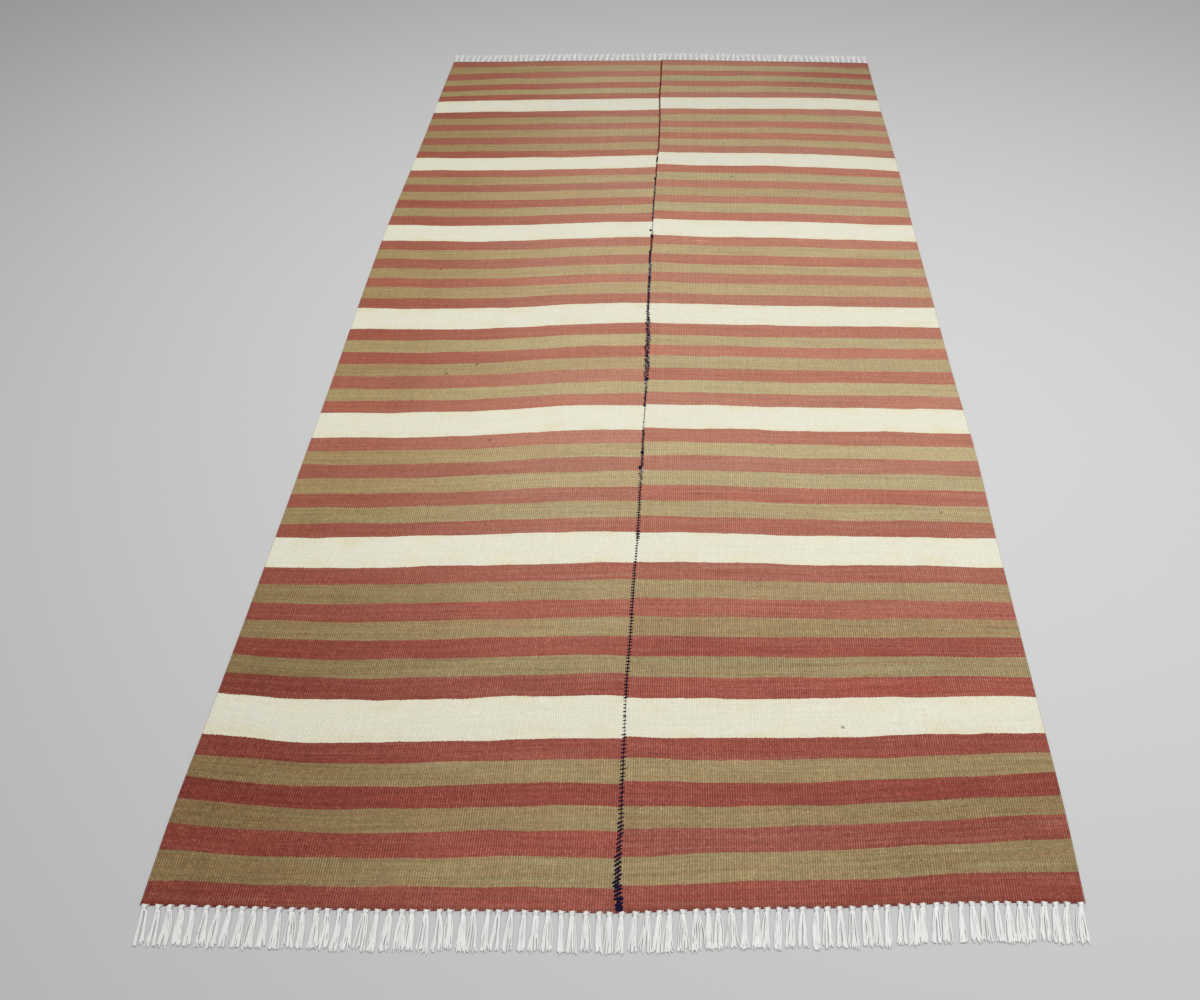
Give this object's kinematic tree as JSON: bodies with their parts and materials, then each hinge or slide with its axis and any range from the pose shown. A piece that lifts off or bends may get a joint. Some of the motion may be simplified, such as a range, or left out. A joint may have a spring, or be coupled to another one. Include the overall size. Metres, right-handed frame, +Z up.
{
  "type": "kilim rug",
  "caption": "Flat-woven kilim rug of joined loom lengths in red, tan and cream cross stripes, with a dark sewn seam down its middle and knotted white warp fringes at both ends.",
  "frame": {"origin": "middle of the underside of the rug's box, fringes included", "axes": "+X across the rug, +Y along it from the near fringe to the far one, +Z up out of its face"},
  "size_m": [1.639, 3.4772, 0.0052],
  "materials": {
    "striped_wool": "matt weft-faced wool, cross stripes of brick red, camel tan and ivory",
    "fringe_cotton": "matt white cotton warp ends, knotted",
    "seam_thread": "matt dark navy sewing thread"
  },
  "bodies": {
    "root": {"panel_left": "striped_wool", "panel_right": "striped_wool", "fringe_near_left": "fringe_cotton", "fringe_near_right": "fringe_cotton", "fringe_far_left": "fringe_cotton", "fringe_far_right": "fringe_cotton"}
  },
  "joints": []
}
